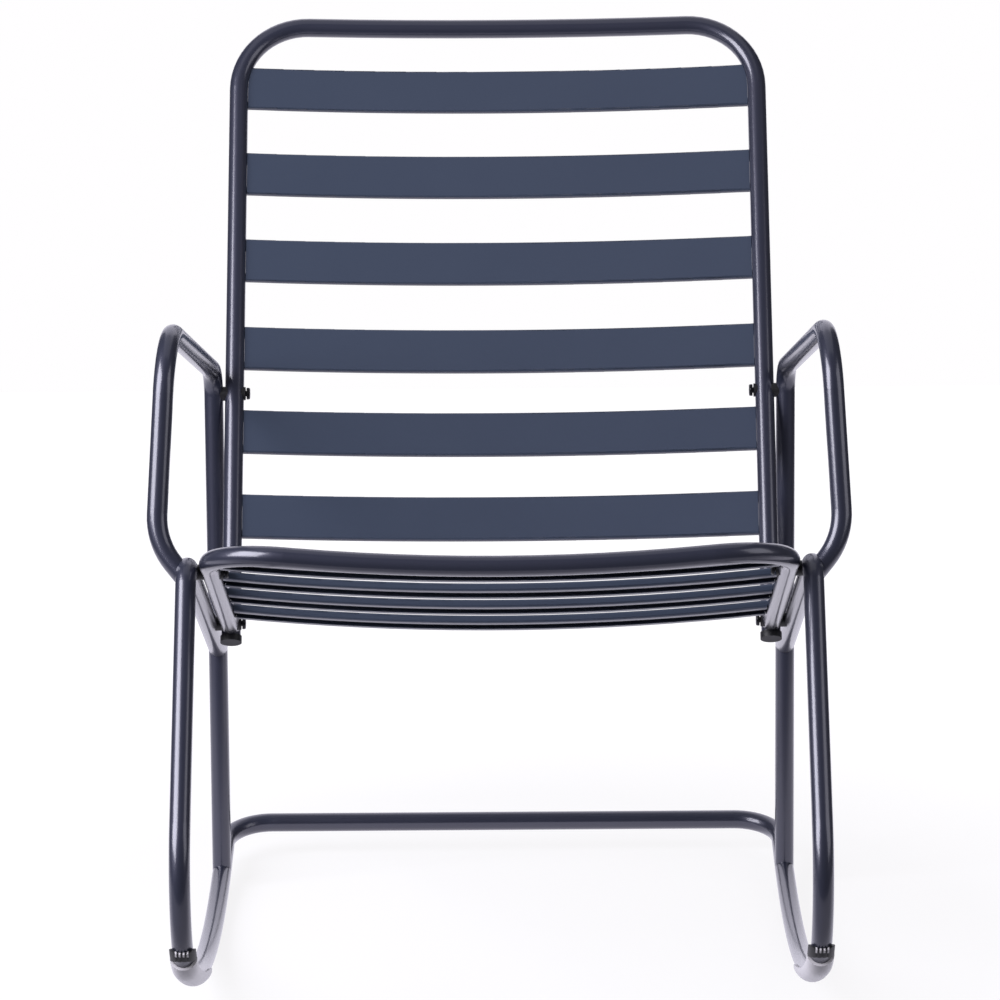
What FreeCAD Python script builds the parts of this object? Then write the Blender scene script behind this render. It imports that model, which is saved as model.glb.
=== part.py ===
"""Garden rocking chair of bent steel tube with folded sheet-steel slats.

Frame: X across the chair, front towards -Y, +Z up, millimetres, floor at Z = 0.
The side view is set out first, as points of (depth, height), with the depth growing to the rear.
The finished chair is then rolled to where it balances when empty, and centred over the origin.
"""
import FreeCAD, Part
import math
import os

import Sketcher

from FreeCAD import Placement, Rotation, Vector

doc = FreeCAD.newDocument("garden_rocking_chair")

# Driving dimensions, one cell each.
DIMENSIONS = {
    # Tubes
    "tube_diameter": 20.0,
    "tube_wall": 1.5,
    "frame_bend_radius": 75.0,
    "dome_bend_radius": 26.0,
    "front_bend_radius": 100.0,
    "arm_front_bend_radius": 62.0,
    "arm_rear_bend_radius": 34.0,
    "arm_foot_bend_radius": 70.0,
    "crossbar_bend_radius": 49.0,
    # Widths between tube axes, half each
    "seat_half_width": 279.0,
    "saddle_gap": 2.0,
    "arm_flare_top": 19.0,
    "arm_flare_foot": 30.0,
    # Side view: where the seat meets the back, and the two slopes
    "joint_depth": 372.9,
    "joint_height": 331.9,
    "seat_slope": 15.0,
    "back_recline": 24.3,
    "seat_depth": 433.0,
    "back_length": 686.8,
    "back_tail": 16.5,
    # Runners and front legs, the setback measured along the seat from its front
    "contact_depth": 228.0,
    "runner_radius": 1050.0,
    "front_leg_lean": 28.8,
    "front_leg_setback": 69.7,
    "runner_end_depth": 578.5,
    "crossbar_leg": 14.0,
    # Arms, their front measured from the front leg's dome, and rear legs
    "arm_bolt_rise": 236.1,
    "arm_corner_rise": 24.0,
    "rear_leg_lean": 5.55,
    "arm_slope": 8.2,
    "arm_front_depth": 38.0,
    "arm_front_lean": 6.5,
    "arm_foot_rise": 20.2,
    "arm_end_depth": 17.0,
    # Bowed rails and slats
    "front_rail_bow": 9.3,
    "top_rail_bow": 6.0,
    "bow_share": 0.97,
    "slat_width": 48.0,
    "slat_flange": 8.0,
    "slat_lip": 11.0,
    "slat_sheet": 1.2,
    "slat_fold_radius": 1.2,
    "slat_bow_radius": 2600.0,
    "slat_front_lift": 4.0,
    "first_back_slat": 121.7,
    "lower_back_slats": 3,
    "lower_back_pitch": 94.5,
    "upper_back_slats": 3,
    "top_slat_drop": 73.8,
    "first_seat_slat": 52.0,
    "seat_slats": 4,
    "seat_pitch": 93.5,
    # Fasteners
    "bolt_diameter": 6.0,
    "bolt_clearance": 0.4,
    "head_diameter": 12.5,
    "head_height": 3.6,
    "head_standoff": 1.2,
    "head_rounding": 1.6,
    "socket_width": 4.0,
    "socket_depth": 2.0,
    "insert_diameter": 9.0,
    "insert_reach": 5.0,
    "spacer_diameter": 15.0,
    "washer_diameter": 14.0,
    "washer_edge": 1.6,
    "front_bolt_gap": 2.0,
    "rear_bolt_gap": 21.0,
    # Plastic pieces
    "cap_wall": 1.0,
    "cap_height": 7.0,
    "cap_fit": 0.1,
    "stop_wall": 2.6,
    "stop_spread": 115.0,
    "stop_start": 70.0,
    "stop_angle": 13.0,
    "stop_slots": 3,
    "stop_slot_pitch": 24.0,
    "stop_slot_spread": 5.0,
    "stop_slot_depth": 1.4,
    "stop_slot_margin": 3.0,
    "glide_wall": 3.0,
    "glide_spread": 95.0,
    "glide_end_depth": 140.0,
    "glide_gap": 0.8,
    "sleeve_wall": 1.5,
    "sleeve_fit": 0.1,
    # Weights in grams per cubic centimetre, which set how far the chair leans back at rest
    "steel_density": 7.85,
    "plastic_density": 1.0,
}

sheet = doc.addObject("Spreadsheet::Sheet", "Sizes")
for row, (alias, value) in enumerate(DIMENSIONS.items(), start=1):
    sheet.set(f"A{row}", alias)
    sheet.set(f"B{row}", str(value))
    sheet.setAlias(f"B{row}", alias)
doc.recompute()


def size(alias):
    """The value of one driving dimension, read from the sheet."""
    return float(sheet.get(alias))


tube_radius = size("tube_diameter") / 2
bore_radius = tube_radius - size("tube_wall")
side_half_width = size("seat_half_width") + size("tube_diameter") + size("saddle_gap")
seat_slope = math.radians(size("seat_slope"))
back_recline = math.radians(size("back_recline"))
half_width = size("seat_half_width")
rail_half = half_width - size("frame_bend_radius")
ACROSS = Vector(1, 0, 0)
FULL_TURN = 2 * math.pi
# Two lengths this close are the same
SAME = 0.01


def side_point(half_width, depth_height):
    """A point of the side view, set out at its half width on the chair's right."""
    return Vector(half_width, depth_height[0], depth_height[1])


def along(start, heading, distance):
    """A point of the side view at a distance from another, heading as (depth, height)."""
    return (start[0] + heading[0] * distance, start[1] + heading[1] * distance)


# Headings in the side view
seat_forward = (-math.cos(seat_slope), math.sin(seat_slope))
seat_rearward = (-seat_forward[0], -seat_forward[1])
seat_up = (math.sin(seat_slope), math.cos(seat_slope))
back_up = (math.sin(back_recline), math.cos(back_recline))
back_rearward = (math.cos(back_recline), -math.sin(back_recline))
rear_leg_lean = math.radians(size("rear_leg_lean"))
rear_leg_down = (math.sin(rear_leg_lean), -math.cos(rear_leg_lean))
front_leg_lean = math.radians(size("front_leg_lean"))
front_leg_down = (-math.sin(front_leg_lean), -math.cos(front_leg_lean))


# Paths of straight runs joined by tangent arcs

def rounded_path(points, radii):
    """A wire through the points, with each inner corner rounded to its radius."""
    edges = []
    last = points[0]
    for corner, before, after, radius in zip(points[1:-1], points[:-2], points[2:], radii):
        inward = (before - corner).normalize()
        outward = (after - corner).normalize()
        half_angle = inward.getAngle(outward) / 2
        trim = radius / math.tan(half_angle)
        middle = (inward + outward).normalize()
        centre = corner + middle * (radius / math.sin(half_angle))
        first = corner + inward * trim
        final = corner + outward * trim
        edges.append(Part.LineSegment(last, first).toShape())
        edges.append(Part.Arc(first, centre - middle * radius, final).toShape())
        last = final
    edges.append(Part.LineSegment(last, points[-1]).toShape())
    return Part.Wire(edges)


def bow_apex(bow):
    """How far a cross rail's two halves would run out of plane if they met at a point."""
    return 2 * bow * half_width / rail_half


def bow_radius(bow):
    """Radius of the arc that rounds that point off, nearly up to the bends at the rail's ends."""
    return size("bow_share") * rail_half**2 / (2 * bow)


def pipe(path, radius):
    """A round bar along a path."""
    start = path.OrderedVertexes[0].Point
    heading = path.OrderedEdges[0].tangentAt(path.OrderedEdges[0].FirstParameter)
    ring = Part.Wire(Part.makeCircle(radius, start, heading))
    return path.makePipeShell([ring], True, False)


def tube(path):
    """A bent tube along a path, open at both ends."""
    return pipe(path, tube_radius).cut(pipe(path, bore_radius))


def rod(start, end, radius):
    """A straight round bar between two points."""
    return Part.makeCylinder(radius, start.distanceToPoint(end), start, end - start)


def mirrored(shape):
    """The same piece on the chair's other side."""
    return shape.mirror(Vector(0, 0, 0), ACROSS)


# The side view's chief points
joint = (size("joint_depth"), size("joint_height"))
seat_front = along(joint, seat_forward, size("seat_depth"))
back_top = along(joint, back_up, size("back_length"))
back_foot = along(joint, back_up, -size("back_tail"))
arm_bolt = along(joint, back_up, size("arm_bolt_rise") / back_up[1])
arm_rear_corner = along(arm_bolt, rear_leg_down, -size("arm_corner_rise"))
arm_slope = math.radians(size("arm_slope"))
dome_corner = along(seat_front, seat_rearward, size("front_leg_setback"))
arm_front = dome_corner[0] + size("arm_front_depth")
arm_reach = arm_rear_corner[0] - arm_front
arm_front_corner = (arm_front, arm_rear_corner[1] + arm_reach * math.tan(arm_slope))
arm_foot_height = dome_corner[1] + size("arm_foot_rise")
arm_drop = arm_front_corner[1] - arm_foot_height
arm_foot_corner = (
    arm_front - arm_drop * math.tan(math.radians(size("arm_front_lean"))),
    arm_foot_height,
)
runner_centre = (size("contact_depth"), size("runner_radius") + tube_radius)


def runner_height(depth):
    """Height of the runner's axis above the floor at a depth."""
    reach = depth - runner_centre[0]
    return runner_centre[1] - math.sqrt(size("runner_radius") ** 2 - reach**2)


def meets_circle(start, heading, radius):
    """Where a line of the side view leaves a circle about the runner's centre."""
    offset = (start[0] - runner_centre[0], start[1] - runner_centre[1])
    forward = offset[0] * heading[0] + offset[1] * heading[1]
    outside = offset[0] ** 2 + offset[1] ** 2 - radius**2
    return along(start, heading, math.sqrt(forward**2 - outside) - forward)


# The front bend is tangent to the front leg and, from inside, to the runner's arc.
leg_inside = (math.cos(front_leg_lean), -math.sin(front_leg_lean))
bend_centre = meets_circle(
    along(dome_corner, leg_inside, size("front_bend_radius")),
    front_leg_down,
    size("runner_radius") - size("front_bend_radius"),
)
bend_from_leg = math.atan2(math.sin(front_leg_lean), -math.cos(front_leg_lean))
bend_to_runner = math.atan2(bend_centre[1] - runner_centre[1], bend_centre[0] - runner_centre[0])


def bend_point(angle):
    """A point of the front bend's axis, by its angle about the bend's centre."""
    heading = (math.cos(angle), math.sin(angle))
    return along(bend_centre, heading, size("front_bend_radius"))


def runner_point(depth):
    """A point of the runner's axis."""
    return (depth, runner_height(depth))


# From the leg, the bend turns through the front, so its angles run on past half a turn.
bend_start = bend_from_leg
bend_end = bend_to_runner + FULL_TURN
bend_exit = bend_point(bend_end)


def arc_edge(points):
    """An arc through three points of the side view, in a side frame's plane."""
    return Part.Arc(*[side_point(side_half_width, p) for p in points]).toShape()


def runner_arc(first_depth, last_depth):
    """The runner's arc between two depths."""
    middle = (first_depth + last_depth) / 2
    return arc_edge([runner_point(first_depth), runner_point(middle), runner_point(last_depth)])


def bend_arc(first_angle, last_angle):
    """The front bend's arc between two angles."""
    middle = (first_angle + last_angle) / 2
    return arc_edge([bend_point(first_angle), bend_point(middle), bend_point(last_angle)])


# Rocker tube: brace beside the seat, tight dome, front leg, front bend and runner, in one length
rear_leg_meets_brace = (
    (arm_bolt[0] - joint[0] + (arm_bolt[1] - joint[1]) * math.tan(rear_leg_lean))
    / (1 - math.tan(seat_slope) * math.tan(rear_leg_lean))
)
brace_end = (joint[0] + rear_leg_meets_brace, joint[1] - rear_leg_meets_brace * math.tan(seat_slope))
leg_end = bend_point(bend_start)
brace_and_leg = rounded_path(
    [side_point(side_half_width, p) for p in (brace_end, dome_corner, leg_end)],
    [size("dome_bend_radius")],
)
rocker_path = Part.Wire(
    brace_and_leg.Edges
    + [bend_arc(bend_start, bend_end), runner_arc(bend_exit[0], size("runner_end_depth"))]
)

# Arm tube: welded into the dome from behind, out and up, back along the armrest, then down as the
# rear leg
dome_side = Vector(0, *front_leg_down) + Vector(0, *seat_rearward)
dome_inside = side_point(side_half_width, dome_corner) + dome_side.normalize() * size("arm_end_depth")
rear_leg_foot = meets_circle(arm_bolt, rear_leg_down, size("runner_radius"))
arm_path = rounded_path(
    [
        dome_inside,
        side_point(side_half_width + size("arm_flare_foot"), arm_foot_corner),
        side_point(side_half_width + size("arm_flare_top"), arm_front_corner),
        side_point(side_half_width, arm_rear_corner),
        side_point(side_half_width, rear_leg_foot),
    ],
    [size("arm_foot_bend_radius"), size("arm_front_bend_radius"), size("arm_rear_bend_radius")],
)

# Back frame and seat frame: a U each, with its cross rail bowed out of the frame's plane
back_path = rounded_path(
    [
        side_point(-half_width, back_foot),
        side_point(-half_width, back_top),
        side_point(0, along(back_top, back_rearward, bow_apex(size("top_rail_bow")))),
        side_point(half_width, back_top),
        side_point(half_width, back_foot),
    ],
    [
        size("frame_bend_radius"),
        bow_radius(size("top_rail_bow")),
        size("frame_bend_radius"),
    ],
)
seat_path = rounded_path(
    [
        side_point(-half_width, joint),
        side_point(-half_width, seat_front),
        side_point(0, along(seat_front, seat_up, -bow_apex(size("front_rail_bow")))),
        side_point(half_width, seat_front),
        side_point(half_width, joint),
    ],
    [
        size("frame_bend_radius"),
        bow_radius(size("front_rail_bow")),
        size("frame_bend_radius"),
    ],
)

# Crossbar: a U in the plane of the runners' ends
runner_end = runner_point(size("runner_end_depth"))
end_slope = math.asin((size("runner_end_depth") - runner_centre[0]) / size("runner_radius"))
runner_heading = (math.cos(end_slope), math.sin(end_slope))
crossbar_at = along(runner_end, runner_heading, size("crossbar_leg") + size("crossbar_bend_radius"))
crossbar_path = rounded_path(
    [
        side_point(-side_half_width, runner_end),
        side_point(-side_half_width, crossbar_at),
        side_point(side_half_width, crossbar_at),
        side_point(side_half_width, runner_end),
    ],
    [size("crossbar_bend_radius")] * 2,
)

# Bolts: one through each rear leg and back upright, two through each brace and seat rail
second_slat_edge = size("first_seat_slat") + size("seat_pitch") - size("slat_width") / 2
front_bolt_run = second_slat_edge - size("front_bolt_gap") - size("washer_diameter") / 2
seat_bolts = [
    along(seat_front, seat_rearward, front_bolt_run),
    along(joint, seat_forward, size("rear_bolt_gap")),
]
bolt_points = [arm_bolt] + seat_bolts
hole_radius = (size("bolt_diameter") + size("bolt_clearance")) / 2
insert_hole_radius = (size("insert_diameter") + size("bolt_clearance")) / 2
hole_start = half_width - size("tube_diameter")
hole_end = half_width + tube_radius + size("saddle_gap")


def both_sides(shapes):
    """Right-hand shapes with their left-hand twins."""
    return shapes + [mirrored(shape) for shape in shapes]


def cross_rod(point, first, last, radius):
    """A bar across the chair between two half widths, at a point of the side view."""
    return rod(side_point(first, point), side_point(last, point), radius)


bolt_holes = both_sides([cross_rod(p, hole_start, hole_end, hole_radius) for p in bolt_points])
insert_holes = both_sides([cross_rod(p, hole_end, side_half_width, insert_hole_radius) for p in bolt_points])

# Envelopes of the bent tubes, which cope what is welded to them
rocker_bar = pipe(rocker_path, tube_radius)
back_bar = pipe(back_path, tube_radius)
seat_bar = pipe(seat_path, tube_radius)
rear_leg_bar = rod(
    side_point(side_half_width, along(brace_end, rear_leg_down, -size("tube_diameter"))),
    side_point(side_half_width, along(brace_end, rear_leg_down, size("tube_diameter"))),
    tube_radius,
)


def coped(blank, tools):
    """A tube cut to what it meets and drilled, without the offcuts inside its neighbours."""
    return max(blank.cut(tools + bolt_holes + insert_holes).Solids, key=lambda solid: solid.Volume)


right_rocker = coped(tube(rocker_path), [rear_leg_bar])
right_arm = coped(tube(arm_path), [rocker_bar.cut(rear_leg_bar)])
back_frame = coped(tube(back_path), [])
seat_frame = coped(tube(seat_path), [back_bar])
crossbar = tube(crossbar_path)

sub_parts = []


def add_part(label, shape):
    """A sub-part whose shape is worked out here from the sheet."""
    piece = doc.addObject("Part::Feature", label)
    piece.Label = label
    piece.Shape = shape
    piece.Placement = Placement()
    sub_parts.append(piece)
    return piece


add_part("back_frame", back_frame)
add_part("seat_frame", seat_frame)
add_part("right_rocker", right_rocker)
add_part("left_rocker", mirrored(right_rocker))
add_part("right_arm", right_arm)
add_part("left_arm", mirrored(right_arm))
add_part("crossbar", crossbar)


def add_inside(label, first, last, out_of_plane):
    """The room inside a U frame, between tangent walls, which trims the slats that are welded there."""
    near = half_width - tube_radius
    points = [side_point(out, p) for out, p in ((-near, first), (-near, last), (near, last), (near, first))]
    rail = rounded_path(points, [size("frame_bend_radius") - tube_radius] * 2)
    outline = Part.Wire(rail.Edges + [Part.LineSegment(points[-1], points[0]).toShape()])
    normal = Vector(0, out_of_plane[0], out_of_plane[1]) * size("tube_diameter")
    room = Part.Face(outline).extrude(normal * 2)
    room.translate(normal * -1)
    inside = doc.addObject("Part::Feature", label)
    inside.Shape = room
    return inside


back_inside = add_inside("back_inside", joint, along(back_top, back_up, -tube_radius), back_rearward)
seat_inside = add_inside("seat_inside", joint, along(seat_front, seat_rearward, tube_radius), seat_up)


# Slats: a folded channel with lips, its section turned about the bow's centre line

def plane_of(body, role):
    """One of a body's own origin planes."""
    return next(p for p in body.Origin.OriginFeatures if p.Role == role)


def channel_sketch(body):
    """The slat's section, at the bow's radius from the axis: web, flanges turned outwards, lips turned in."""
    sketch = body.newObject("Sketcher::SketchObject", "slat_section")
    sketch.AttachmentSupport = [(plane_of(body, "XZ_Plane"), "")]
    sketch.MapMode = "FlatFace"
    bow, half = size("slat_bow_radius"), size("slat_width") / 2
    flange, lip, gauge = size("slat_flange"), size("slat_lip"), size("slat_sheet")
    lower = [
        (bow, -half), (bow + flange, -half), (bow + flange, lip - half),
        (bow + flange - gauge, lip - half), (bow + flange - gauge, gauge - half), (bow + gauge, gauge - half),
    ]
    corners = lower + [(out, -across) for out, across in reversed(lower)]
    count = len(corners)
    for index, corner in enumerate(corners):
        after = corners[(index + 1) % count]
        sketch.addGeometry(Part.LineSegment(Vector(*corner, 0), Vector(*after, 0)))
    for index in range(count):
        sketch.addConstraint(Sketcher.Constraint("Coincident", index, 2, (index + 1) % count, 1))
    web = count - 1
    for index in range(web):
        kind = "Horizontal" if index % 2 == 0 else "Vertical"
        sketch.addConstraint(Sketcher.Constraint(kind, index))
    sketch.addConstraint(Sketcher.Constraint("Symmetric", web, 1, web, 2, -1))
    for line, twin in ((0, 10), (1, 9), (2, 8)):
        sketch.addConstraint(Sketcher.Constraint("Equal", line, twin))
    sized = [
        ("bow_radius", Sketcher.Constraint("DistanceX", -1, 1, web, 1, bow), "slat_bow_radius"),
        ("width", Sketcher.Constraint("DistanceY", web, 2, web, 1, 2 * half), "slat_width"),
        ("flange", Sketcher.Constraint("DistanceX", 0, 1, 0, 2, flange), "slat_flange"),
        ("lip", Sketcher.Constraint("DistanceY", 1, 1, 1, 2, lip), "slat_lip"),
        ("lip_gauge", Sketcher.Constraint("DistanceX", 2, 2, 2, 1, gauge), "slat_sheet"),
        ("web_gauge", Sketcher.Constraint("DistanceX", web, 2, 5, 1, gauge), "slat_sheet"),
        ("lower_gauge", Sketcher.Constraint("DistanceY", 0, 2, 3, 2, gauge), "slat_sheet"),
        ("upper_gauge", Sketcher.Constraint("DistanceY", 7, 1, 10, 1, gauge), "slat_sheet"),
    ]
    for label, constraint, alias in sized:
        index = sketch.addConstraint(constraint)
        sketch.renameConstraint(index, label)
        sketch.setExpression(f"Constraints.{label}", f"Sizes.{alias}")
    return sketch


def corner_edges(shape, inset):
    """Names of the edges along the section's four folds, at an inset from its outer corners."""
    radii = (size("slat_bow_radius") + inset, size("slat_bow_radius") + size("slat_flange") - inset)
    level = size("slat_width") / 2 - inset
    names = []
    for index, edge in enumerate(shape.Edges, start=1):
        middle = edge.CenterOfMass
        if isinstance(edge.Curve, Part.Circle) and math.isclose(abs(middle.z), level, abs_tol=SAME):
            if any(math.isclose(edge.Curve.Radius, r, abs_tol=SAME) for r in radii):
                names.append(f"Edge{index}")
    return names


def add_fold(body, base, label, inset, radius):
    """Round the section's folds on the outside or the inside of the sheet."""
    doc.recompute()
    fold = body.newObject("PartDesign::Fillet", label)
    fold.Base = (base, corner_edges(base.Shape, inset))
    fold.setExpression("Radius", radius)
    return fold


slat_blank = doc.addObject("PartDesign::Body", "slat_blank")
slat_section = channel_sketch(slat_blank)
slat_turn = slat_blank.newObject("PartDesign::Revolution", "slat_turn")
slat_turn.Profile = slat_section
slat_turn.ReferenceAxis = (slat_section, ["V_Axis"])
slat_turn.Midplane = True
slat_turn.setExpression("Angle", "2 * asin(Sizes.seat_half_width / Sizes.slat_bow_radius)")
inner_folds = add_fold(slat_blank, slat_turn, "inner_folds", size("slat_sheet"), "Sizes.slat_fold_radius")
add_fold(slat_blank, inner_folds, "outer_folds", 0, "Sizes.slat_fold_radius + Sizes.slat_sheet")
doc.recompute()


def add_slat(label, placement, inside):
    """A slat cut from the bowed blank to fit between the rails that it is welded to."""
    blank = doc.addObject("App::Link", f"{label}_blank")
    blank.LinkedObject = slat_blank
    blank.LinkTransform = False
    blank.Placement = placement
    piece = doc.addObject("Part::Common", label)
    piece.Label = label
    piece.Base = blank
    piece.Tool = inside
    sub_parts.append(piece)


def slat_placement(point, out_of_plane, along_frame):
    """Set a slat's middle at a point of the side view, bowed out of the plane, its width along the frame."""
    outward = Vector(0, out_of_plane[0], out_of_plane[1])
    upright = Vector(0, along_frame[0], along_frame[1])
    turned = Rotation(outward, upright.cross(outward), upright, "XZY")
    return Placement(side_point(0, point) - outward * size("slat_bow_radius"), turned)


lower_steps = int(size("lower_back_slats")) - 1
upper_steps = int(size("upper_back_slats"))
back_runs = [size("first_back_slat") + size("lower_back_pitch") * step for step in range(lower_steps + 1)]
upper_back_pitch = (size("back_length") - size("top_slat_drop") - back_runs[-1]) / upper_steps
for step in range(upper_steps):
    back_runs.append(back_runs[-1] + upper_back_pitch)
bow_depth = size("slat_bow_radius") - math.sqrt(size("slat_bow_radius") ** 2 - half_width**2)
for number, run in enumerate(reversed(back_runs), start=1):
    place = along(along(joint, back_up, run), back_rearward, bow_depth - size("slat_front_lift"))
    add_slat(f"back_slat_{number}", slat_placement(place, back_rearward, back_up), back_inside)
seat_down = (-seat_up[0], -seat_up[1])
for number in range(1, int(size("seat_slats")) + 1):
    run = size("first_seat_slat") + size("seat_pitch") * (number - 1)
    place = along(along(seat_front, seat_rearward, run), seat_down, bow_depth - size("slat_front_lift"))
    add_slat(f"seat_slat_{number}", slat_placement(place, seat_down, seat_rearward), seat_inside)


# Fasteners: button-head bolts from inside, saddle washers, saddle spacers between the tubes, and
# threaded inserts set in the inner walls of the side frames' tubes

head_seat = half_width - tube_radius - size("washer_edge") - size("head_standoff")
head_face = head_seat - size("head_height")
insert_end = side_half_width + size("insert_reach")


def hexagon(point, out, across_flats, depth):
    """A six-sided bar across the chair from a half width, at a point of the side view."""
    start = side_point(out, point)
    turns = [FULL_TURN * step / 6 for step in range(7)]
    reach = across_flats / math.sqrt(3)
    corners = [start + Vector(0, math.cos(turn), math.sin(turn)) * reach for turn in turns]
    return Part.Face(Part.makePolygon(corners)).extrude(ACROSS * depth)


def bolt_shape(point):
    """A socket button-head bolt, head on the seat's side."""
    shank = cross_rod(point, head_seat, insert_end, size("bolt_diameter") / 2)
    head = cross_rod(point, head_face, head_seat, size("head_diameter") / 2)
    rim = min(head.Edges, key=lambda edge: edge.CenterOfMass.x)
    head = head.makeFillet(size("head_rounding"), [rim])
    socket = hexagon(point, head_face, size("socket_width"), size("socket_depth"))
    return head.fuse(shank).cut(socket).removeSplitter()


def insert_shape(point, bar):
    """A threaded insert, set flush in the tube that the bolt pulls against."""
    blank = cross_rod(point, hole_end, insert_end, size("insert_diameter") / 2)
    thread = cross_rod(point, hole_start, insert_end, size("bolt_diameter") / 2)
    return blank.common(bar).cut(thread)


def washer_shape(point, tubes):
    """A saddle washer between a bolt's head and the tube that it clamps."""
    washer_face = head_seat + size("head_standoff")
    blank = cross_rod(point, washer_face, half_width, size("washer_diameter") / 2)
    return blank.cut(tubes + bolt_holes)


def spacer_shape(point, tubes):
    """A saddle spacer, hollowed at both ends to the two tubes that it keeps apart."""
    blank = cross_rod(point, half_width, side_half_width, size("spacer_diameter") / 2)
    return blank.cut(tubes + bolt_holes)


arm_bar = pipe(arm_path, tube_radius)
arm_tubes = [back_bar, arm_bar]
seat_tubes = [seat_bar, rocker_bar, back_bar]


def add_pair(label, shapes):
    """A node of separate solids: each shape and its twin on the other side."""
    add_part(label, Part.makeCompound(both_sides(shapes)))


add_pair("arm_bolts", [bolt_shape(arm_bolt)])
add_pair("seat_bolts", [bolt_shape(p) for p in seat_bolts])
seat_inserts = [insert_shape(p, rocker_bar) for p in seat_bolts]
add_pair("threaded_inserts", [insert_shape(arm_bolt, arm_bar)] + seat_inserts)
add_pair("arm_spacers", [spacer_shape(arm_bolt, arm_tubes)])
add_pair("seat_spacers", [spacer_shape(p, seat_tubes) for p in seat_bolts])
seat_washers = [washer_shape(p, seat_tubes) for p in seat_bolts]
add_pair("saddle_washers", [washer_shape(arm_bolt, arm_tubes)] + seat_washers)


# Plastic pieces: caps on the uprights' lower ends, ribbed stops and glides on the front bends

def end_cap():
    """A cup pressed over an upright's lower end."""
    inner = tube_radius + size("cap_fit")
    outer = inner + size("cap_wall")
    low = side_point(half_width, along(back_foot, back_up, -size("cap_wall")))
    seat = side_point(half_width, back_foot)
    high = side_point(half_width, along(back_foot, back_up, size("cap_height") - size("cap_wall")))
    return rod(low, high, outer).cut(rod(seat, high, inner)).cut(seat_bar)


def sleeve_sector(path_edges, inner, outer, spread, facing):
    """A shell round part of a tube: a ring's sector, centred on one side, along the tube's path."""
    path = Part.Wire(path_edges)
    start = path.OrderedVertexes[0].Point
    heading = path.OrderedEdges[0].tangentAt(path.OrderedEdges[0].FirstParameter)
    sideways = heading.cross(facing).normalize()
    up = sideways.cross(heading).normalize()

    def rim(radius, angle):
        return start + (up * math.cos(angle) + sideways * math.sin(angle)) * radius

    outline = Part.Wire([
        Part.Arc(rim(outer, -spread), rim(outer, 0), rim(outer, spread)).toShape(),
        Part.LineSegment(rim(outer, spread), rim(inner, spread)).toShape(),
        Part.Arc(rim(inner, spread), rim(inner, 0), rim(inner, -spread)).toShape(),
        Part.LineSegment(rim(inner, -spread), rim(outer, -spread)).toShape(),
    ])
    return path.makePipeShell([outline], True, False)


def bend_facing(angle, turn):
    """Away from the front bend's centre at an angle, turned about the tube in degrees."""
    outward = Vector(0, math.cos(angle), math.sin(angle))
    heading = Vector(0, -math.sin(angle), math.cos(angle))
    return Rotation(heading, turn).multVec(outward)


stop_from = bend_start + math.radians(size("stop_start"))
stop_to = stop_from + math.radians(size("stop_angle"))
clip_inner = tube_radius + size("cap_fit")
stop_outer = clip_inner + size("stop_wall")
stop_blank = sleeve_sector(
    [bend_arc(stop_from, stop_to)],
    clip_inner,
    stop_outer,
    math.radians(size("stop_spread")),
    bend_facing(stop_from, 0),
)
slot_from = stop_from + math.radians(size("stop_slot_margin"))
slot_to = stop_to - math.radians(size("stop_slot_margin"))
slot_turns = [
    size("stop_slot_pitch") * (step - (size("stop_slots") - 1) / 2) for step in range(int(size("stop_slots")))
]
stop_slots = [
    sleeve_sector(
        [bend_arc(slot_from, slot_to)],
        stop_outer - size("stop_slot_depth"),
        stop_outer + size("stop_slot_depth"),
        math.radians(size("stop_slot_spread")),
        bend_facing(slot_from, turn),
    )
    for turn in slot_turns
]
front_stop = stop_blank.cut(stop_slots)
glide_from = stop_to + math.radians(size("glide_gap"))
glide = sleeve_sector(
    [bend_arc(glide_from, bend_end), runner_arc(bend_exit[0], size("glide_end_depth"))],
    clip_inner,
    tube_radius + size("glide_wall"),
    math.radians(size("glide_spread")),
    bend_facing(glide_from, 0),
)
for side, turn in (("right", lambda shape: shape), ("left", mirrored)):
    add_part(f"{side}_end_cap", turn(end_cap()))
    add_part(f"{side}_front_stop", turn(front_stop))
    add_part(f"{side}_glide", turn(glide))

# Inner sleeves that join the crossbar's straight legs to the runners
sleeve_outer = bore_radius - size("sleeve_fit")
sleeve_from = size("runner_end_depth") - size("crossbar_leg")
leg_line = Part.LineSegment(
    side_point(side_half_width, runner_end),
    side_point(side_half_width, along(runner_end, runner_heading, size("crossbar_leg"))),
)
sleeve_path = Part.Wire([runner_arc(sleeve_from, size("runner_end_depth")), leg_line.toShape()])
joint_sleeve = pipe(sleeve_path, sleeve_outer).cut(pipe(sleeve_path, sleeve_outer - size("sleeve_wall")))
add_pair("joint_sleeves", [joint_sleeve])

doc.recompute()

# Roll the chair on its runners until its weight hangs below their centre, as it stands when empty

def centre_of_mass(shape):
    """The centre of mass of all of a shape's solids together."""
    return sum((solid.CenterOfMass * solid.Volume for solid in shape.Solids), Vector()) / shape.Volume


PLASTIC = ("cap", "stop", "glide", "spacer", "washer")
weight = 0
moment = Vector(0, 0, 0)
for piece in sub_parts:
    plastic = any(word in piece.Label for word in PLASTIC)
    mass = piece.Shape.Volume * size("plastic_density" if plastic else "steel_density")
    weight += mass
    moment += centre_of_mass(piece.Shape) * mass
balance = moment / weight
pivot = Vector(0, runner_centre[0], runner_centre[1])
lean = math.degrees(math.atan2(balance.y - pivot.y, pivot.z - balance.z))
rolled = Placement(Vector(0, 0, 0), Rotation(ACROSS, -lean), pivot)
for piece in sub_parts:
    piece.Placement = rolled.multiply(piece.Placement)
doc.recompute()

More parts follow.
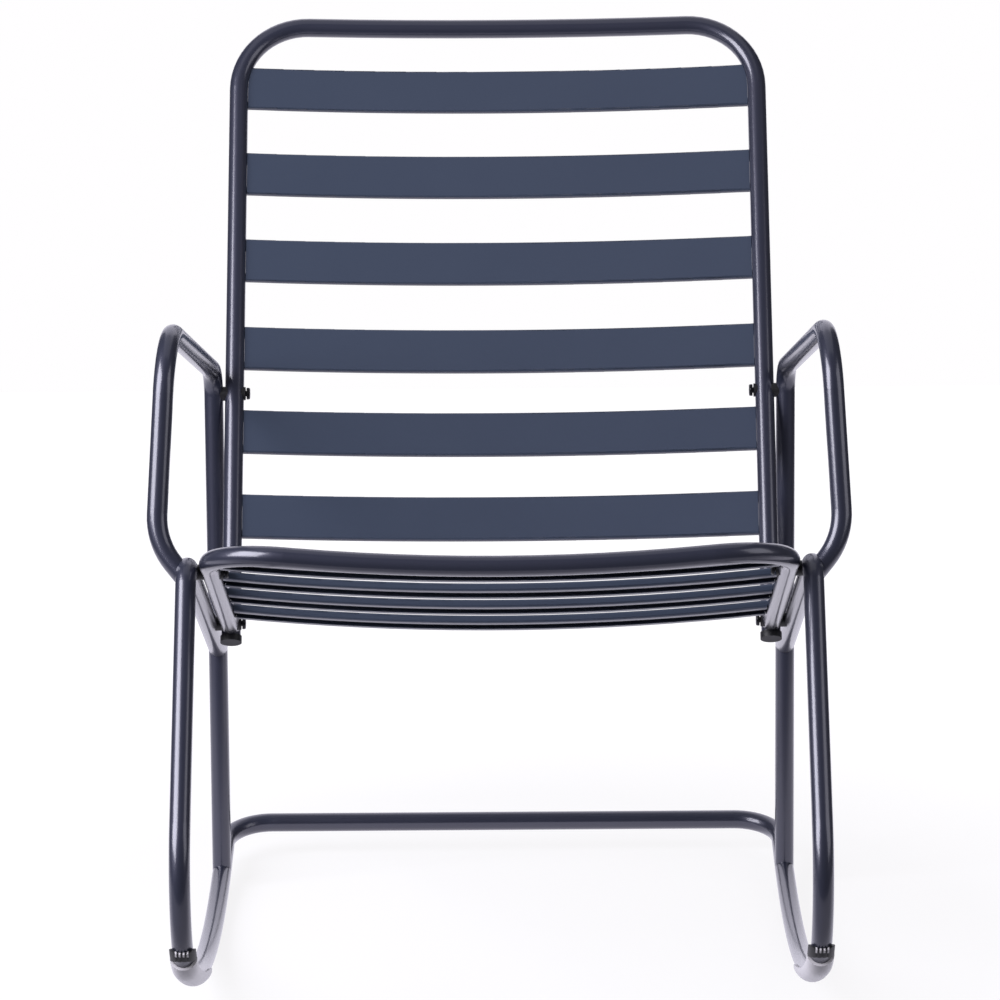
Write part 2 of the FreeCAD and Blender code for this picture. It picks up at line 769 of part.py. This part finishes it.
# Centre the chair over the middle of its footprint
low = min(piece.Shape.optimalBoundingBox().YMin for piece in sub_parts)
high = max(piece.Shape.optimalBoundingBox().YMax for piece in sub_parts)
centring = Vector(0, -(low + high) / 2, 0)
for piece in sub_parts:
    piece.Placement = Placement(piece.Placement.Base + centring, piece.Placement.Rotation)
doc.recompute()
print(f"leans back {lean:.3f} degrees about {pivot + centring}")

faults = [o.Label for o in doc.Objects if "Invalid" in o.State or "Error" in o.State]
faults += [p.Label for p in sub_parts if p.Shape.isNull() or not p.Shape.isValid()]
if faults:
    raise RuntimeError("failed: " + ", ".join(faults))

os.makedirs("parts", exist_ok=True)
for piece in sub_parts:
    piece.Shape.exportStep(os.path.join("parts", piece.Label + ".step"))
    box = piece.Shape.optimalBoundingBox()
    print(
        f"{piece.Label}: {len(piece.Shape.Solids)} solids, {piece.Shape.Volume:.0f} mm3,"
        f" Y {box.YMin:.1f} to {box.YMax:.1f}, Z {box.ZMin:.1f} to {box.ZMax:.1f}"
    )
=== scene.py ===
import math

import bmesh
import bpy
from mathutils import Matrix, Vector


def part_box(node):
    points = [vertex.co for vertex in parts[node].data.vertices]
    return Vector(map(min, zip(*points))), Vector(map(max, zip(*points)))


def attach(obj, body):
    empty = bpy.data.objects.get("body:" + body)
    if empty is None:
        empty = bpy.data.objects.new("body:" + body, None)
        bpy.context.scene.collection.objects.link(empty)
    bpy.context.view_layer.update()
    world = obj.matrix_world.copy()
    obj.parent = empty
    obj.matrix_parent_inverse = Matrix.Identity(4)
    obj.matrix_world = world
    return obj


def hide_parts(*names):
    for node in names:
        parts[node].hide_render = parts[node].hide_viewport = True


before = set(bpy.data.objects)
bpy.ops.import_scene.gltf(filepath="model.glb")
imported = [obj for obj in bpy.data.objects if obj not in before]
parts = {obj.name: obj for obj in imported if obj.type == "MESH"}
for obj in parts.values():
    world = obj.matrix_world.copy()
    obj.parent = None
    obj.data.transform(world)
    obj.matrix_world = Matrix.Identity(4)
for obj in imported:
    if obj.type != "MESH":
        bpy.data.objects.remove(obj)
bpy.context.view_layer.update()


# Side frames: each is a rocker tube and an arm tube of 20 mm steel, coped and welded together,
# and a crossbar joins their rear ends. The whole weldment is powder coated slate navy, baked to a
# semi-gloss film that flows round the bends and carries a faint orange peel.
def linear(hex_colour):
    """An sRGB hex colour as linear RGBA."""
    channels = [int(hex_colour[i:i + 2], 16) / 255 for i in (1, 3, 5)]
    return [c / 12.92 if c <= 0.04045 else ((c + 0.055) / 1.055) ** 2.4 for c in channels] + [1.0]


def repeats(millimetres):
    """The scale of a pattern whose marks are that far apart, on coordinates in metres."""
    return 1000 / millimetres


def add_node(tree, kind, inputs, **settings):
    """A shader node with its settings, and each input set to a value or linked from an output."""
    node = tree.nodes.new(kind)
    for name, value in settings.items():
        setattr(node, name, value)
    for name, value in inputs.items():
        if isinstance(value, bpy.types.NodeSocket):
            tree.links.new(value, node.inputs[name])
        else:
            node.inputs[name].default_value = value
    return node


def new_finish(name):
    """An empty node material, with its tree and the piece's own coordinates."""
    material = bpy.data.materials.new(name)
    material.use_nodes = True
    tree = material.node_tree
    tree.nodes.clear()
    place = add_node(tree, "ShaderNodeTexCoord", {}).outputs["Object"]
    return material, tree, place


def coat(name, base, faded, roughness, flow):
    """Baked polyester powder coat: a coloured film, glossier the better it flowed out, with orange peel."""
    film_ior = 1.6
    gloss_spread = 0.03
    material, tree, place = new_finish(name)
    # The film's thickness, and with it the colour, drifts over about 110 mm.
    drift = add_node(tree, "ShaderNodeTexNoise", {"Vector": place, "Scale": repeats(111), "Detail": 3.0})
    colour = add_node(
        tree, "ShaderNodeMix", {0: drift.outputs["Fac"], 6: linear(base), 7: linear(faded)}, data_type="RGBA"
    )
    # Orange peel on a powder coat is about 2 mm from crest to crest.
    peel = add_node(tree, "ShaderNodeTexNoise", {"Vector": place, "Scale": repeats(2.083), "Detail": 1.0})
    gloss = add_node(
        tree, "ShaderNodeMapRange",
        {
            "Value": peel.outputs["Fac"],
            "To Min": roughness - gloss_spread, "To Max": roughness + gloss_spread,
        },
    )
    bump = add_node(
        tree, "ShaderNodeBump", {"Strength": 0.025, "Distance": 0.0003, "Height": peel.outputs["Fac"]}
    )
    shader = add_node(
        tree, "ShaderNodeBsdfPrincipled",
        {
            "Base Color": colour.outputs[2], "Roughness": gloss.outputs[0], "IOR": film_ior,
            "Specular Tint": linear("#E4E2FF"), "Coat Weight": flow, "Coat Roughness": 0.18,
            "Coat IOR": film_ior, "Normal": bump.outputs[0],
        },
    )
    add_node(tree, "ShaderNodeOutputMaterial", {"Surface": shader.outputs[0]})
    return material


def dress(material, *names):
    """Give CAD nodes a finish."""
    for name in names:
        parts[name].data.materials.clear()
        parts[name].data.materials.append(material)


tube_coat = coat("powder_coated_tube", base="#282B3A", faded="#2C2F3E", roughness=0.38, flow=1.0)
dress(tube_coat, "right_rocker", "left_rocker", "right_arm", "left_arm", "crossbar")


# Seat and back frames: two U tubes with bowed cross rails, welded where the seat rails meet the
# uprights and bolted between the side frames. They are coated in the same batch as the side frames.
dress(tube_coat, "back_frame", "seat_frame")


# Slats: sheet steel folded to a shallow lipped channel, bowed, and welded between the rails. They have
# the tubes' paint, satin on the broad faces, with its colour painted lighter for the light those faces
# catch.
# Base and faded are the tube paint made lighter: painted light on the slats' faces.
slat_coat_painted_light = coat("powder_coated_slat", base="#364153", faded="#3B4658", roughness=0.45, flow=0.4)
dress(slat_coat_painted_light, *[name for name in parts if "_slat_" in name])


# Bolts: socket button-heads of black-oxide steel, which clamp the seat and the back between the
# side frames. The heads are on the seat's side, and the thin film gives them a dull sheen.
def black_oxide():
    """Blackened steel: near black, half metal in its reflections, slightly mottled."""
    material, tree, place = new_finish("black_oxide_steel")
    # The mottle of the salt bath is about 3 mm across.
    mottle = add_node(tree, "ShaderNodeTexNoise", {"Vector": place, "Scale": repeats(3.125), "Detail": 2.0})
    colour = add_node(
        tree, "ShaderNodeMix",
        {0: mottle.outputs["Fac"], 6: linear("#17171A"), 7: linear("#232327")}, data_type="RGBA",
    )
    shader = add_node(
        tree, "ShaderNodeBsdfPrincipled",
        {"Base Color": colour.outputs[2], "Roughness": 0.26, "Metallic": 0.4},
    )
    add_node(tree, "ShaderNodeOutputMaterial", {"Surface": shader.outputs[0]})
    return material


dress(black_oxide(), "arm_bolts", "seat_bolts")


# Saddle spacers, saddle washers and end caps: black polypropylene, injection moulded with a fine
# spark-eroded texture that keeps it matt. The bolts clamp the spacers between the tubes and the
# washers under their heads, and the caps are pressed on the uprights' lower ends.
def moulded(name, shade, light, roughness, grit_depth):
    """Injection-moulded plastic with a fine texture from the tool."""
    material, tree, place = new_finish(name)
    # The tool's grit is about 0.6 mm, drawn a little coarser so that it shows.
    grit = add_node(tree, "ShaderNodeTexNoise", {"Vector": place, "Scale": repeats(0.8333), "Detail": 2.0})
    colour = add_node(
        tree, "ShaderNodeMix", {0: grit.outputs["Fac"], 6: linear(shade), 7: linear(light)}, data_type="RGBA"
    )
    bump = add_node(
        tree, "ShaderNodeBump", {"Strength": 0.12, "Distance": grit_depth, "Height": grit.outputs["Fac"]}
    )
    shader = add_node(
        tree, "ShaderNodeBsdfPrincipled",
        {"Base Color": colour.outputs[2], "Roughness": roughness, "IOR": 1.49, "Normal": bump.outputs[0]},
    )
    add_node(tree, "ShaderNodeOutputMaterial", {"Surface": shader.outputs[0]})
    return material


black_plastic = moulded(
    "black_polypropylene", shade="#141416", light="#202024", roughness=0.5, grit_depth=0.0002
)
dress(black_plastic, "arm_spacers", "seat_spacers", "saddle_washers", "right_end_cap", "left_end_cap")


# Glides: milky strips of natural nylon, clipped under the front bends where the runners would
# scrape the floor. The plastic is pale grey and a little glossy.
# The same nylon also serves as the painted glints on the stop clips' tongues.
nylon_and_painted_glint = moulded("natural_nylon_and_painted_glint", shade="#CFCCD2", light="#DAD7DD", roughness=0.25, grit_depth=0.0001)
dress(nylon_and_painted_glint, "right_glide", "left_glide")


# Front stops: short clips of the black plastic, snapped round the front bends above the glides.
# Their edges are cut nearly level across the bend; tongues raised in front are pale nylon as painted glints.
cut_pitch = math.radians(13.7)
cut_up = Vector((0, math.sin(cut_pitch), math.cos(cut_pitch)))
trim_above = 0.009
trim_below = 0.008
weld_distance = 0.00001
tongues = 4
tongue_pitch = 0.0036
tongue_width = 0.0017
tongue_length = 0.0065
tongue_rise = 0.0005
front_facing = -0.2


def slice_clip(clip, point, normal, clear):
    """Cut the clip along a plane; where the outer side is cleared, close the cut."""
    cut = bmesh.ops.bisect_plane(
        clip, geom=clip.verts[:] + clip.edges[:] + clip.faces[:], dist=weld_distance,
        plane_co=point, plane_no=normal, clear_outer=clear,
    )
    if clear:
        rim = [item for item in cut["geom_cut"] if isinstance(item, bmesh.types.BMEdge)]
        bmesh.ops.holes_fill(clip, edges=rim)


def raise_glint_tongue(clip, middle, foot):
    """Lift a strip of the clip's front, from a height up to its top edge, in pale nylon as a painted glint.
    """
    for edge in (middle - tongue_width / 2, middle + tongue_width / 2):
        slice_clip(clip, Vector((edge, 0, 0)), Vector((1, 0, 0)), clear=False)
    clip.normal_update()
    strip = [
        face for face in clip.faces
        if face.normal.y < front_facing
        and abs(face.calc_center_median().x - middle) < tongue_width / 2
        and face.calc_center_median().dot(cut_up) > foot
    ]
    outward = sum((face.normal for face in strip), Vector()).normalized()
    raised = bmesh.ops.extrude_face_region(clip, geom=strip)["geom"]
    corners = [item for item in raised if isinstance(item, bmesh.types.BMVert)]
    bmesh.ops.translate(clip, verts=corners, vec=outward * tongue_rise)
    # The raised faces take the clip's second finish, the pale nylon: a painted glint.
    for item in raised:
        if isinstance(item, bmesh.types.BMFace):
            item.material_index = 1
    bmesh.ops.delete(clip, geom=strip, context="FACES")


for side in ("right", "left"):
    clip = bmesh.new()
    clip.from_mesh(parts[f"{side}_front_stop"].data)
    bmesh.ops.remove_doubles(clip, verts=clip.verts, dist=weld_distance)
    heights = [vert.co.dot(cut_up) for vert in clip.verts]
    top = max(heights) - trim_above
    foot = top - tongue_length
    slice_clip(clip, cut_up * top, cut_up, clear=True)
    slice_clip(clip, cut_up * (min(heights) + trim_below), -cut_up, clear=True)
    slice_clip(clip, cut_up * foot, cut_up, clear=False)
    low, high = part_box(f"{side}_front_stop")
    for step in range(tongues):
        raise_glint_tongue(clip, (low[0] + high[0]) / 2 + tongue_pitch * (step - (tongues - 1) / 2), foot)
    bmesh.ops.recalc_face_normals(clip, faces=clip.faces)
    mesh = bpy.data.meshes.new(f"{side}_stop_clip")
    clip.to_mesh(mesh)
    clip.free()
    mesh.materials.append(black_plastic)
    mesh.materials.append(nylon_and_painted_glint)
    stop_clip = bpy.data.objects.new(f"{side}_stop_clip", mesh)
    bpy.context.scene.collection.objects.link(stop_clip)
    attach(stop_clip, "root")
    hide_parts(f"{side}_front_stop")


# Threaded inserts and inner sleeves: plain steel, hidden inside the tubes, where the bolts end and
# where crossbar and runners join. They show only the drawn metal's bare surface.
def drawn_steel():
    """Bare cold-drawn steel, with an uneven gloss from the die."""
    material, tree, place = new_finish("drawn_steel")
    # The marks of the die are about 1 mm apart.
    marks = add_node(tree, "ShaderNodeTexNoise", {"Vector": place, "Scale": repeats(1.111)})
    gloss = add_node(
        tree, "ShaderNodeMapRange", {"Value": marks.outputs["Fac"], "To Min": 0.3, "To Max": 0.45}
    )
    shader = add_node(
        tree, "ShaderNodeBsdfPrincipled",
        {"Base Color": linear("#B4B4B8"), "Metallic": 1.0, "Roughness": gloss.outputs[0]},
    )
    add_node(tree, "ShaderNodeOutputMaterial", {"Surface": shader.outputs[0]})
    return material


dress(drawn_steel(), "threaded_inserts", "joint_sleeves")


# Studio: white paper under and behind the chair, a large soft box on the left, a weaker one on the
# right and a dim one overhead. A long lens looks down on the chair from about five metres away.
paper_width = 3.0
floor_front = -0.9
floor_rear = 2.65
floor_gap = 0.0005
backdrop_height = 4.0


def studio_white():
    """Paper that the camera and reflections see as white, and that keeps the chair's faint shadow."""
    material, tree, place = new_finish("studio_white")
    paper = add_node(tree, "ShaderNodeBsdfDiffuse", {"Color": linear("#707074")})
    ray = add_node(tree, "ShaderNodeLightPath", {})
    # Round the chair the camera sees some of the paper's own light and shade, further off plain white.
    spot = add_node(tree, "ShaderNodeNewGeometry", {})
    away = add_node(tree, "ShaderNodeVectorMath", {0: spot.outputs["Position"]}, operation="LENGTH")
    plain = add_node(
        tree, "ShaderNodeMapRange",
        {"Value": away.outputs["Value"], "From Min": 0.5, "From Max": 1.1, "To Min": 0.86, "To Max": 1.0},
    )
    whitened = add_node(
        tree, "ShaderNodeMath", {0: ray.outputs["Is Camera Ray"], 1: plain.outputs[0]}, operation="MULTIPLY"
    )
    white = add_node(
        tree, "ShaderNodeEmission", {"Color": linear("#FFFEFF"), "Strength": whitened.outputs[0]}
    )
    lit_paper = add_node(tree, "ShaderNodeAddShader", {0: paper.outputs[0], 1: white.outputs[0]})
    # In reflections the floor is dim near its front edge, and white from under the chair to the rear.
    # Its coordinates run from -0.5 at that edge to 0.5 at the rear. The upright sheet is dim at its top.
    along = add_node(tree, "ShaderNodeSeparateXYZ", {0: place})
    level = add_node(
        tree, "ShaderNodeMapRange",
        {"Value": along.outputs[1], "From Min": -0.39, "From Max": -0.34, "To Min": 0.5, "To Max": 1.0},
    )
    glow = add_node(tree, "ShaderNodeEmission", {"Color": linear("#F3F0FF"), "Strength": level.outputs[0]})
    mirrored = add_node(
        tree, "ShaderNodeMath", {0: ray.outputs["Is Glossy Ray"], 1: ray.outputs["Is Transmission Ray"]},
        operation="MAXIMUM",
    )
    shader = add_node(
        tree, "ShaderNodeMixShader", {0: mirrored.outputs[0], 1: lit_paper.outputs[0], 2: glow.outputs[0]}
    )
    add_node(tree, "ShaderNodeOutputMaterial", {"Surface": shader.outputs[0]})
    return material


paper_finish = studio_white()


def lay_paper(name, place, pitch, length):
    """A sheet of the white paper, pitched about X."""
    bpy.ops.mesh.primitive_plane_add(size=1, location=place, rotation=(pitch, 0, 0))
    paper = bpy.context.object
    paper.name = name
    paper.scale = (paper_width, length, 1)
    paper.data.materials.append(paper_finish)
    return paper


lay_paper("studio_floor", (0, (floor_front + floor_rear) / 2, -floor_gap), 0, floor_rear - floor_front)
upright_paper = lay_paper(
    "studio_backdrop", (0, floor_rear, backdrop_height / 2), -math.pi / 2, backdrop_height
)
# Behind the chair the paper is there only for what the coat mirrors.
upright_paper.visible_camera = False
upright_paper.visible_diffuse = False
upright_paper.visible_shadow = False

world = bpy.data.worlds.new("studio")
bpy.context.scene.world = world
world.use_nodes = True
room = world.node_tree
room.nodes.clear()
fill = add_node(room, "ShaderNodeBackground", {"Color": linear("#FFFEFF"), "Strength": 0.28})
walls = add_node(room, "ShaderNodeBackground", {"Color": linear("#F0EEFF"), "Strength": 0.07})
white_ground = add_node(room, "ShaderNodeBackground", {"Color": linear("#FFFEFF"), "Strength": 1.0})
sight = add_node(room, "ShaderNodeLightPath", {})
surroundings = add_node(
    room, "ShaderNodeMixShader",
    {0: sight.outputs["Is Glossy Ray"], 1: fill.outputs[0], 2: walls.outputs[0]},
)
view = add_node(
    room, "ShaderNodeMixShader",
    {0: sight.outputs["Is Camera Ray"], 1: surroundings.outputs[0], 2: white_ground.outputs[0]},
)
add_node(room, "ShaderNodeOutputWorld", {"Surface": view.outputs[0]})


def soft_box(name, place, width, height, watts):
    """A rectangular studio light turned to the chair's middle."""
    chair_middle = Vector((0, 0, 0.5))
    lamp = bpy.data.lights.new(name, "AREA")
    lamp.shape = "RECTANGLE"
    lamp.size = width
    lamp.size_y = height
    lamp.energy = watts
    lamp.color = linear("#F8F7FF")[:3]
    holder = bpy.data.objects.new(name, lamp)
    holder.location = place
    holder.rotation_euler = (chair_middle - Vector(place)).to_track_quat("-Z", "Y").to_euler()
    bpy.context.scene.collection.objects.link(holder)


soft_box("left_soft_box", place=(-2.05, -1.25, 1.75), width=2.0, height=1.9, watts=95)
soft_box("right_soft_box", place=(2.3, -1.1, 1.5), width=1.6, height=1.8, watts=12)
soft_box("top_soft_box", place=(0, 0.5, 2.8), width=2.5, height=2.5, watts=7)

camera_place = (0.0128, -4.7298, 1.619)
camera_turn = math.radians(0.153)
camera_dip = math.radians(13.699)
camera_roll = math.radians(-0.44)
lens = bpy.data.cameras.new("front_camera")
lens.sensor_width = 36
lens.lens = 172.8
camera = bpy.data.objects.new("front_camera", lens)
camera.matrix_world = (
    Matrix.Translation(camera_place)
    @ Matrix.Rotation(camera_turn, 4, "Z")
    @ Matrix.Rotation(math.pi / 2 - camera_dip, 4, "X")
    @ Matrix.Rotation(camera_roll, 4, "Z")
)
bpy.context.scene.collection.objects.link(camera)
bpy.context.scene.camera = camera
bpy.context.scene.view_settings.view_transform = "Standard"
